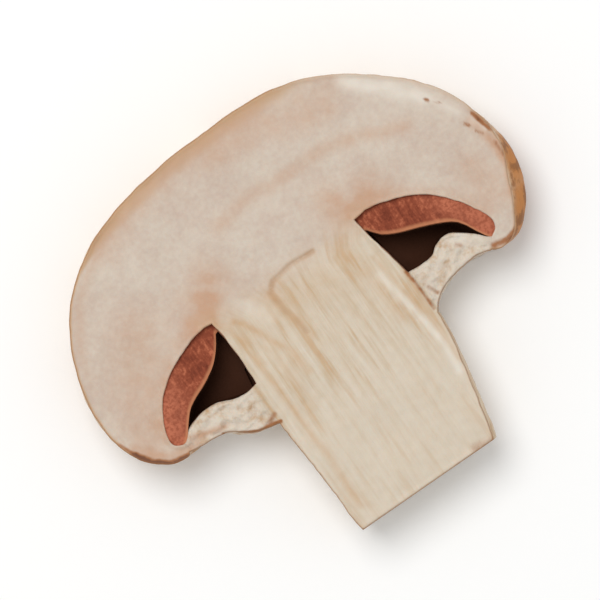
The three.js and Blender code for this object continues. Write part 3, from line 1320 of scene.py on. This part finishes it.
class Nodes:
    """The nodes of one material, with the places that its patterns are laid out in."""

    def __init__(self, name: str, placement: Placement) -> None:
        """Starts an empty material.

        Args:
            name: The material's name.
            placement: Where the slice is.
        """
        self.material = bpy.data.materials.new(name)
        self.material.use_nodes = True
        self.tree = self.material.node_tree
        self.tree.nodes.clear()
        where = self.add("ShaderNodeTexCoord", {}, {}).outputs["Object"]
        own = self.add("ShaderNodeVectorMath", {"operation": "SUBTRACT"}, {0: where, 1: placement.origin})
        sockets = {0: own.outputs[0], "Scale": 1 / METRES}
        self.spot = self.add("ShaderNodeVectorMath", {"operation": "SCALE"}, sockets).outputs[0]

    def add(self, kind: str, settings: Mapping[str, Any], sockets: Mapping[str | int, Any]) -> bpy.types.Node:
        """Adds a node.

        Args:
            kind: Its type.
            settings: Its own properties, which are set first.
            sockets: What goes into its inputs: a number or vector, an eight-bit colour, a link or a Value.

        Returns:
            The node.
        """
        node = self.tree.nodes.new(kind)
        for setting, value in settings.items():
            setattr(node, setting, value)
        for socket, value in sockets.items():
            source = value.socket if isinstance(value, Value) else value
            target = node.inputs[socket]
            if isinstance(source, bpy.types.NodeSocket):
                self.tree.links.new(source, target)
            else:
                target.default_value = linear(source) if target.type == "RGBA" else source
        return node

    def maths(self, operation: str, first: Value | float, second: Value | float) -> Value:
        """A Math node on two numbers."""
        node = self.add("ShaderNodeMath", {"operation": operation}, {0: first, 1: second})
        return Value(self, node.outputs[0])

    def smooth_step(self, value: Value, low: float, high: float) -> Value:
        """A number that goes smoothly from 0 at low to 1 at high.

        Args:
            value: The number that it depends on.
            low: Where it is 0.
            high: Where it is 1.

        Returns:
            A number from 0 to 1.
        """
        sockets = {"Value": value, "From Min": low, "From Max": high}
        node = self.add("ShaderNodeMapRange", {"interpolation_type": "SMOOTHSTEP"}, sockets)
        return Value(self, node.outputs["Result"])

    def mark(self, name: str) -> Value:
        """A number kept on the vertices."""
        node = self.add("ShaderNodeAttribute", {"attribute_name": name}, {})
        return Value(self, node.outputs["Fac"])

    def mark_place(self, name: str) -> bpy.types.NodeSocket:
        """A vector kept on the vertices."""
        return self.add("ShaderNodeAttribute", {"attribute_name": name}, {}).outputs["Vector"]

    def height(self) -> Value:
        """Z in the mushroom's own frame, in millimetres."""
        node = self.add("ShaderNodeSeparateXYZ", {}, {0: self.spot})
        return Value(self, node.outputs["Z"])

    def noise(
        self, sizes: tuple[float, float, float], detail: float, place: bpy.types.NodeSocket | None = None
    ) -> Value:
        """Noise with lumps of a size along each axis.

        Args:
            sizes: The lumps' sizes along X, Y and Z, in millimetres.
            detail: How many finer layers it has.
            place: The coordinates that it is laid out in, or None for the mushroom's own frame.

        Returns:
            A number that is about 0.5 on average.
        """
        scaling = {0: place or self.spot, 1: tuple(1 / size for size in sizes)}
        scaled = self.add("ShaderNodeVectorMath", {"operation": "MULTIPLY"}, scaling)
        sockets = {"Vector": scaled.outputs[0], "Scale": 1.0, "Detail": detail, "Roughness": 0.6}
        return Value(self, self.add("ShaderNodeTexNoise", {}, sockets).outputs[0])

    def lumps(self, size: float, detail: float) -> Value:
        """Noise with round lumps of a size in millimetres."""
        return self.noise((size, size, size), detail)

    def blend(self, share: Value | float, first: Colour, second: Colour) -> bpy.types.NodeSocket:
        """A colour between two others.

        Args:
            share: How much of the second it has.
            first: The first colour.
            second: The second colour.

        Returns:
            The mixed colour.
        """
        sockets = {0: share, 6: first, 7: second}
        node = self.add("ShaderNodeMix", {"data_type": "RGBA"}, sockets)
        return node.outputs[2]

    def finish(
        self,
        colour: Colour,
        relief: Value,
        roughness: float,
        height: float,
        glow: float = 0.0,
        sheen: float = 0.35,
    ) -> bpy.types.Material:
        """Ends the material.

        Args:
            colour: The surface's colour.
            relief: Fine relief, from 0 to 1.
            roughness: Of its shine.
            height: What a relief of 1 stands for, in millimetres.
            glow: How much light goes in and comes out again.
            sheen: Strength of its shine.

        Returns:
            The material.
        """
        raised = {"Strength": 1.0, "Distance": height * METRES, "Height": relief}
        bump = self.add("ShaderNodeBump", {}, raised)
        sockets = {
            "Base Color": colour,
            "Roughness": roughness,
            "Normal": bump.outputs[0],
            "Specular IOR Level": sheen,
            "Subsurface Weight": glow,
            "Subsurface Radius": GLOW_SPREAD,
            "Subsurface Scale": GLOW_DEPTH * METRES,
        }
        shader = self.add("ShaderNodeBsdfPrincipled", {}, sockets)
        self.add("ShaderNodeOutputMaterial", {}, {"Surface": shader.outputs[0]})
        return self.material


@dataclass(frozen=True)
class CutFlesh:
    """The satin cream flesh of the cut faces, with its fibres, blush, bruises and thin skin line.

    Attributes:
        pale, deep: The cap's lighter and darker flesh.
        stem_pale, stem_deep: The stem's.
        white: The pale flecks.
        blush: The pinkish tan of the cap's stains.
        stem_tan: The stem's stains and wide streaks.
        bruise, dark: Bruises, and their middle where they are strong.
        skin: The skin, as it shows on the cut face.
        line: The outer edge.
        crack: The split.
    """

    pale: Rgb = (208, 195, 179)
    deep: Rgb = (195, 175, 159)
    stem_pale: Rgb = (213, 201, 183)
    stem_deep: Rgb = (197, 176, 148)
    white: Rgb = (226, 218, 205)
    blush: Rgb = (193, 153, 124)
    stem_tan: Rgb = (196, 160, 120)
    bruise: Rgb = (156, 102, 60)
    dark: Rgb = (112, 66, 36)
    skin: Rgb = (190, 152, 110)
    line: Rgb = (150, 106, 68)
    crack: Rgb = (178, 140, 104)

    def colour(self, nodes: Nodes) -> bpy.types.NodeSocket:
        """The flesh's colour before its stains.

        The cap is mottled between pale and deep. The stem is streaked along its fibres, with tan in the
        widest streaks. The split is lined with a darker tone.

        Args:
            nodes: The nodes of the material.

        Returns:
            The colour.
        """
        mottle = nodes.lumps(3.4, 3.5)
        crepe = nodes.lumps(0.5, 3.0)
        place = nodes.mark_place("fibre")
        streak = nodes.noise((0.8, 9.0, 9.0), 3.0, place)
        fine_streak = nodes.noise((0.16, 3.5, 3.5), 2.0, place)
        stemness = nodes.mark("stemness")
        tone = 0.6 * mottle.between(0.3, 0.7) + 0.4 * crepe.between(0.3, 0.7)
        cap_colour = nodes.blend(tone, self.pale, self.deep)
        streaked = nodes.mark("streaked")
        streaks = 0.6 * streak.between(0.38, 0.66) + 0.25 * fine_streak.between(0.3, 0.7)
        stem_tone = 0.2 * tone + streaked * streaks
        stem_colour = nodes.blend(stem_tone, self.stem_pale, self.stem_deep)
        colour = nodes.blend(stemness, cap_colour, stem_colour)
        colour = nodes.blend(streak.between(0.54, 0.72) * 0.6 * stemness * streaked, colour, self.stem_tan)
        crack = nodes.mark("crack") + 0.3 * (crepe - 0.5)
        return nodes.blend(crack.between(0.5, 0.05) * (1.3 * mottle - 0.1), colour, self.crack)

    def stained(self, nodes: Nodes, colour: bpy.types.NodeSocket) -> bpy.types.NodeSocket:
        """A colour with the skin's thickness, pale flecks, blush, bruises and the dark outer edge over it.

        Args:
            nodes: The nodes of the material.
            colour: The colour underneath.

        Returns:
            The stained colour.
        """
        mottle = nodes.lumps(2.0, 4.0)
        crepe = nodes.lumps(0.5, 3.0)
        tone = nodes.mark("rim_tone")
        skin = nodes.mark("skin") + 0.7 * (mottle - 0.5)
        colour = nodes.blend(skin.between(1.35, 0.2) * 0.85 * tone, colour, self.skin)
        colour = nodes.blend(nodes.mark("pale") * (0.5 + 0.5 * mottle), colour, self.white)
        blush = nodes.mark("blush") * (0.7 + 0.4 * mottle + 0.3 * crepe)
        tan = nodes.blend(nodes.mark("stemness"), self.blush, self.stem_tan)
        colour = nodes.blend(0.85 * blush, colour, tan)
        bruise = nodes.mark("bruise") * (0.4 + 1.2 * nodes.lumps(0.7, 4.0))
        colour = nodes.blend(bruise.between(0.12, 1.0), colour, self.bruise)
        colour = nodes.blend(bruise.between(1.0, 1.6), colour, self.dark)
        edge = nodes.mark("edge") + 0.12 * (crepe - 0.5)
        return nodes.blend(edge.between(0.2, 0.03) * 0.75 * tone, colour, self.line)

    def build(self, placement: Placement) -> bpy.types.Material:
        """Makes the material.

        Args:
            placement: Where the slice is.

        Returns:
            The material.
        """
        nodes = Nodes("cut_flesh", placement)
        fibres = nodes.noise((0.16, 3.5, 3.5), 2.0, nodes.mark_place("fibre"))
        relief = 0.5 * nodes.lumps(0.5, 3.0) + 0.5 * fibres * nodes.mark("stemness")
        colour = self.stained(nodes, self.colour(nodes))
        return nodes.finish(colour, relief, roughness=0.55, height=0.04, glow=0.15)


@dataclass(frozen=True)
class CapSkin:
    """The cap's thin skin: cream, with tan and brown fibres pressed flat.

    Attributes:
        pale, tan: Its ground and its patches.
        brown: Its fibres.
        orange: Its bruised right rim.
    """

    pale: Rgb = (218, 194, 164)
    tan: Rgb = (196, 154, 108)
    brown: Rgb = (146, 96, 54)
    orange: Rgb = (186, 124, 68)

    def build(self, placement: Placement) -> bpy.types.Material:
        """Makes the material.

        Args:
            placement: Where the slice is.

        Returns:
            The material.
        """
        nodes = Nodes("cap_skin", placement)
        patches = nodes.lumps(3.2, 5.0)
        fibres = nodes.noise((1.6, 1.6, 0.5), 4.0)
        colour = nodes.blend(patches.between(0.35, 0.62), self.pale, self.tan)
        below_edge = nodes.height().between(1.45, 0.7)
        rim = nodes.mark("right_rim") * (0.5 + 0.8 * patches) * (0.55 + 0.45 * below_edge)
        colour = nodes.blend(rim.between(0.25, 0.95), colour, self.orange)
        brown = fibres.between(0.5, 0.7) * (0.3 + 0.6 * patches) + 0.5 * rim * fibres.between(0.42, 0.6)
        colour = nodes.blend(brown.between(0.1, 0.9), colour, self.brown)
        return nodes.finish(colour, fibres, roughness=0.5, height=0.12, glow=0.1)


@dataclass(frozen=True)
class StemSkin:
    """The stem's outside.

    Attributes:
        pale: Its cream ground.
        tan: Its long fibres, which are darker in patches.
    """

    pale: Rgb = (216, 197, 170)
    tan: Rgb = (184, 146, 102)

    def build(self, placement: Placement) -> bpy.types.Material:
        """Makes the material.

        Args:
            placement: Where the slice is.

        Returns:
            The material.
        """
        nodes = Nodes("stem_skin", placement)
        fibres = nodes.noise((0.5, 5.0, 0.5), 4.0)
        patches = nodes.noise((2.2, 4.0, 2.2), 4.0)
        colour = nodes.blend(fibres.between(0.35, 0.7) * (0.4 + 0.8 * patches), self.pale, self.tan)
        return nodes.finish(colour, fibres, roughness=0.6, height=0.12, glow=0.1)


@dataclass(frozen=True)
class TornVeil:
    """The cottony veil, which goes over into the flesh at its ends.

    Attributes:
        flesh: The flesh's finish, for its ends and its stains.
        pale: Its ground.
        tan: Its small spots.
    """

    flesh: CutFlesh
    pale: Rgb = (217, 204, 187)
    tan: Rgb = (192, 158, 122)

    def build(self, placement: Placement) -> bpy.types.Material:
        """Makes the material.

        Args:
            placement: Where the slice is.

        Returns:
            The material.
        """
        nodes = Nodes("torn_veil", placement)
        cotton = nodes.lumps(0.7, 6.0)
        patches = nodes.lumps(1.3, 3.0)
        own = nodes.blend(patches.between(0.47, 0.75), self.pale, self.tan)
        belongs = nodes.mark("veil") + 0.3 * (cotton - 0.5)
        colour = nodes.blend(belongs.between(0.15, 0.85), self.flesh.colour(nodes), own)
        colour = self.flesh.stained(nodes, colour)
        return nodes.finish(colour, cotton, roughness=0.75, height=0.3, glow=0.15)


@dataclass(frozen=True)
class ChamberWithPaintedShade:
    """The walls of the hollow under the gills, with painted shade that darkens them with depth.

    Attributes:
        light: Colour at the top, above the painted shade.
        dark: Colour of the painted shade in the depth, which the mottling also goes towards.
        top: Where the painted shade starts, in Z.
        bottom: Where the painted shade is full.
    """

    light: Rgb = (188, 138, 110)
    dark: Rgb = (68, 38, 23)
    top: float = 1.5
    bottom: float = 0.1

    def build(self, placement: Placement) -> bpy.types.Material:
        """Makes the material.

        Args:
            placement: Where the slice is.

        Returns:
            The material.
        """
        nodes = Nodes("chamber_wall_painted_shade", placement)
        patches = nodes.lumps(1.2, 4.0)
        # Painted shade: the walls go from light at the top to dark in the depth, by height alone.
        colour = nodes.blend(nodes.height().between(self.bottom, self.top), self.dark, self.light)
        colour = nodes.blend(0.4 * patches.between(0.4, 0.7), colour, self.dark)
        return nodes.finish(colour, patches, roughness=0.9, height=0.1, sheen=0.05)


@dataclass(frozen=True)
class GillTissue:
    """The reddish-brown gills, mottled and finely streaked, with painted shade that darkens them in the
    slice's depth.

    Attributes:
        light, middle, dark: The tones of the mottling.
        edge: Along a gill's lower edge.
        outer: Towards its outer end.
        deep: The painted shade's colour in the slice's depth.
        top: Where the painted shade starts, in Z.
        bottom: Where the painted shade is full.
        shown_again: Distances from the lower cut between which the painted shade gives way to the gills'
            tones again.
    """

    light: Rgb = (184, 106, 76)
    middle: Rgb = (144, 73, 50)
    dark: Rgb = (98, 42, 28)
    edge: Rgb = (198, 132, 94)
    outer: Rgb = (192, 114, 86)
    deep: Rgb = (68, 38, 23)
    top: float = 0.2
    bottom: float = -1.2
    shown_again: tuple[float, float] = (0.7, 0.25)

    def build(self, placement: Placement) -> bpy.types.Material:
        """Makes the material.

        Args:
            placement: Where the slice is.

        Returns:
            The material.
        """
        nodes = Nodes("gill_tissue", placement)
        streak = nodes.noise((0.35, 1.8, 1.8), 5.0)
        mottle = nodes.lumps(1.5, 4.0)
        specks = nodes.lumps(0.3, 3.0)
        tone = 0.35 * streak.between(0.35, 0.65) + 0.3 * mottle.between(0.35, 0.65)
        tone = tone + 0.35 * specks.between(0.3, 0.7)
        colour = nodes.blend(tone.between(0.1, 0.6), self.dark, self.middle)
        colour = nodes.blend(tone.between(0.5, 1.0), colour, self.light)
        outward = nodes.mark("outward") + 0.5 * (mottle - 0.5)
        colour = nodes.blend(outward.between(0.45, 1.0) * 0.75, colour, self.outer)
        colour = nodes.blend(specks.between(0.56, 0.36) * 0.6, colour, self.middle)
        rim = nodes.mark("edge") + 0.25 * (mottle - 0.5)
        colour = nodes.blend(rim.between(0.5, 0.12) * 0.75, colour, self.edge)
        # Painted shade: the gills darken to the deep colour below top, and their own tones come back near the
        # lower cut.
        height = nodes.height()
        from_below = height.between(*(LOWER_CUT + rise for rise in self.shown_again))
        shown = height.between(self.bottom, self.top) + from_below
        colour = nodes.blend(shown, self.deep, colour)
        relief = 0.5 * streak + 0.5 * specks
        return nodes.finish(colour, relief, roughness=0.7, height=0.07, sheen=0.12)


@dataclass(frozen=True)
class Studio:
    """The pale floor, the soft light and the camera over the slice.

    Attributes:
        placement: Where the slice is.
        aim: The point of the mushroom in the middle of the picture.
        roll: How far the slice is turned in the picture, in degrees.
        distance: From the camera to the upper cut face, in metres.
        frame_width: What the picture takes in there, in metres.
        sensor: The width of the camera's sensor, in millimetres.
        half_floor: Half the floor's side, in metres.
        paper: The floor's colour.
        lamp_place: The lamp's place, as the picture's right and up and the height, in metres.
        lamp_size: Its diameter, in metres.
        lamp_energy: In watts.
        sky: Strength of the even white sky.
    """

    placement: Placement
    aim: tuple[float, float] = (-0.45, 20.6)
    roll: float = -34.7
    distance: float = 0.5
    frame_width: float = 0.0549
    sensor: float = 36.0
    half_floor: float = 0.6
    paper: Rgb = (251, 251, 250)
    lamp_place: tuple[float, float, float] = (-0.22, 0.25, 0.75)
    lamp_size: float = 0.5
    lamp_energy: float = 3.4
    sky: float = 0.62

    def floor(self) -> None:
        """Makes the floor, just under the slice's lowest point."""
        size = self.half_floor
        corners = [(-size, -size, 0), (size, -size, 0), (size, size, 0), (-size, size, 0)]
        mesh = bpy.data.meshes.new("studio_floor")
        mesh.from_pydata(corners, [], [(0, 1, 2, 3)])
        nodes = Nodes("studio_floor", self.placement)
        grain = nodes.lumps(3.0, 2.0)
        mesh.materials.append(nodes.finish(self.paper, grain, roughness=1.0, height=0.0, sheen=0.0))
        linked("studio_floor", mesh)

    def light(self) -> None:
        """Makes one large soft lamp above and to the upper left of the picture, and an even bright sky."""
        lamp = bpy.data.lights.new("softbox", "AREA")
        lamp.shape = "DISK"
        lamp.size = self.lamp_size
        lamp.energy = self.lamp_energy
        piece = linked("softbox", lamp)
        turn = math.radians(self.roll)
        right, up, height = self.lamp_place
        x = right * math.cos(turn) - up * math.sin(turn)
        y = right * math.sin(turn) + up * math.cos(turn)
        piece.location = (x, y, height)
        piece.rotation_euler = piece.location.to_track_quat("Z", "Y").to_euler()
        world = bpy.data.worlds.new("pale_room")
        world.use_nodes = True
        background = world.node_tree.nodes["Background"]
        background.inputs["Color"].default_value = (1.0, 1.0, 1.0, 1.0)
        background.inputs["Strength"].default_value = self.sky
        bpy.context.scene.world = world
        bpy.context.scene.view_settings.view_transform = "Standard"

    def camera(self) -> None:
        """Makes the camera, straight above the slice."""
        camera = bpy.data.cameras.new("camera")
        camera.sensor_width = self.sensor
        camera.lens = self.sensor * self.distance / self.frame_width
        camera.clip_start = 0.01
        piece = linked("camera", camera)
        target = self.placement.metres(np.array([*self.aim, UPPER_CUT]))
        piece.location = (target[0], target[1], target[2] + self.distance)
        piece.rotation_euler = (0, 0, math.radians(self.roll))
        bpy.context.scene.camera = piece


def main() -> None:
    """Builds the slice and its studio, piece by piece."""
    logging.basicConfig(level=logging.INFO, format="%(name)s: %(message)s")
    section = Section()
    placement = Placement.of_frame(section)
    LOG.info("the mushroom's origin is at %s", placement.origin)
    cut_flesh = CutFlesh()
    finishes = {
        Flesh.CUT: cut_flesh.build(placement),
        Flesh.CAP_SKIN: CapSkin().build(placement),
        Flesh.STEM_SKIN: StemSkin().build(placement),
        Flesh.VEIL: TornVeil(cut_flesh).build(placement),
        Flesh.CHAMBER: ChamberWithPaintedShade().build(placement),
    }
    pieces = [CapAndStem(section, placement).build(finishes)]
    gill_tissue = GillTissue().build(placement)
    pieces += [Gills(side, placement).build(gill_tissue) for side in Side]
    for piece in pieces:
        LOG.info("%s has %d faces", piece.name, len(piece.data.polygons))
    studio = Studio(placement)
    studio.floor()
    studio.light()
    studio.camera()


if __name__ == "__main__":
    main()
